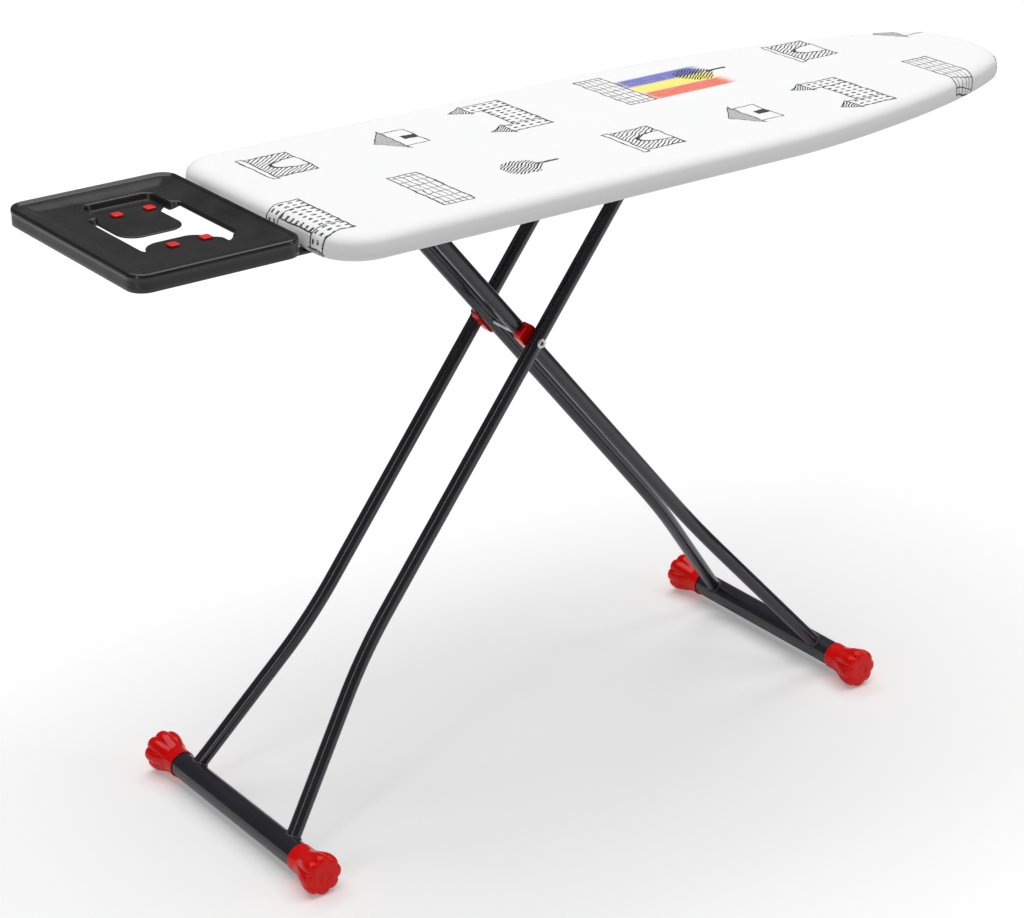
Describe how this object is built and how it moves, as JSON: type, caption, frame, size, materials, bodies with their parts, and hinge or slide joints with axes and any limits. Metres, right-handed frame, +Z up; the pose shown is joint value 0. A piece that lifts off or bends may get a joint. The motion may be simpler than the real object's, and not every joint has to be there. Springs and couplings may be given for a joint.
{
  "type": "ironing board",
  "caption": "Folding ironing board with a padded printed cover, crossed tube legs on capped foot bars, and a steel iron rest at its square end.",
  "frame": {"origin": "on the floor under the middle of the whole object", "axes": "+X from the iron rest to the nose, +Y to the far side, +Z up"},
  "size_m": [1.4096, 0.394, 0.829],
  "materials": {
    "printed_cotton": "white cotton weave with an ink-line print",
    "felt": "needled felt",
    "black_paint": "semi-gloss powder coat",
    "gloss_black_enamel": "gloss enamel on pressed steel",
    "zinc_plate": "bright zinc plate",
    "red_plastic": "moulded, glossy",
    "red_silicone": "moulded silicone",
    "dark_plastic": "moulded, fine grain"
  },
  "bodies": {
    "board": {"cover": "printed_cotton", "underlay": "felt", "deck_sheet": "black_paint", "deck_rim": "black_paint", "tail_brace": "black_paint", "middle_brace": "black_paint", "front_stiffener": "black_paint", "nose_stiffener": "black_paint", "hinge_bracket": "black_paint", "hinge_rod": "zinc_plate", "hinge_cap_near": "zinc_plate", "hinge_cap_far": "zinc_plate", "slide_rail_near": "black_paint", "slide_rail_far": "black_paint", "iron_rest": "gloss_black_enamel", "rest_pad_far_outer": "red_silicone", "rest_pad_far_inner": "red_silicone", "rest_pad_near_outer": "red_silicone", "rest_pad_near_inner": "red_silicone", "rest_arm_near": "black_paint", "rest_arm_far": "black_paint", "arm_screw_near_1": "zinc_plate", "arm_screw_near_2": "zinc_plate", "arm_screw_far_1": "zinc_plate", "arm_screw_far_2": "zinc_plate", "catch_lug_far": "black_paint", "catch_lug_near": "black_paint", "catch_spring": "zinc_plate"},
    "release": {"height_catch": "zinc_plate", "catch_rod": "zinc_plate", "release_lever": "zinc_plate", "lever_grip": "dark_plastic"},
    "outer_leg": {"outer_leg_tube_near": "black_paint", "outer_leg_tube_far": "black_paint", "outer_foot_bar": "black_paint", "outer_foot_cap_near": "red_plastic", "outer_foot_cap_far": "red_plastic", "pivot_axle": "zinc_plate", "rivet_collar_near": "zinc_plate", "rivet_collar_far": "zinc_plate"},
    "inner_leg": {"inner_leg_tube_near": "black_paint", "inner_leg_tube_far": "black_paint", "inner_foot_bar": "black_paint", "inner_foot_cap_near": "red_plastic", "inner_foot_cap_far": "red_plastic", "pivot_saddle_near": "red_plastic", "pivot_saddle_far": "red_plastic", "slider_rod": "zinc_plate", "slider_bush_near": "dark_plastic", "slider_bush_far": "dark_plastic", "slider_cap_near": "zinc_plate", "slider_cap_far": "zinc_plate"}
  },
  "joints": [
    {"name": "leg_fold", "type": "hinge", "parent": "board", "child": "outer_leg", "pos_m": [0.05325, 0, 0.776], "axis": [0, 1, 0], "range_deg": [0, 50.3]},
    {"name": "leg_cross", "type": "hinge", "parent": "outer_leg", "child": "inner_leg", "pos_m": [-0.09325, 0, 0.58298], "axis": [0, 1, 0], "range_deg": [-97.8, 0]},
    {"name": "height_release", "type": "hinge", "parent": "board", "child": "release", "pos_m": [-0.38435, 0, 0.8], "axis": [0, 1, 0], "range_deg": [-6, 0], "stiffness_Nm_per_rad": 0.6, "springref_deg": 22.92}
  ],
  "couplings": [
    {"joint": "leg_cross", "follows": "leg_fold", "ratio": -1.944}
  ]
}
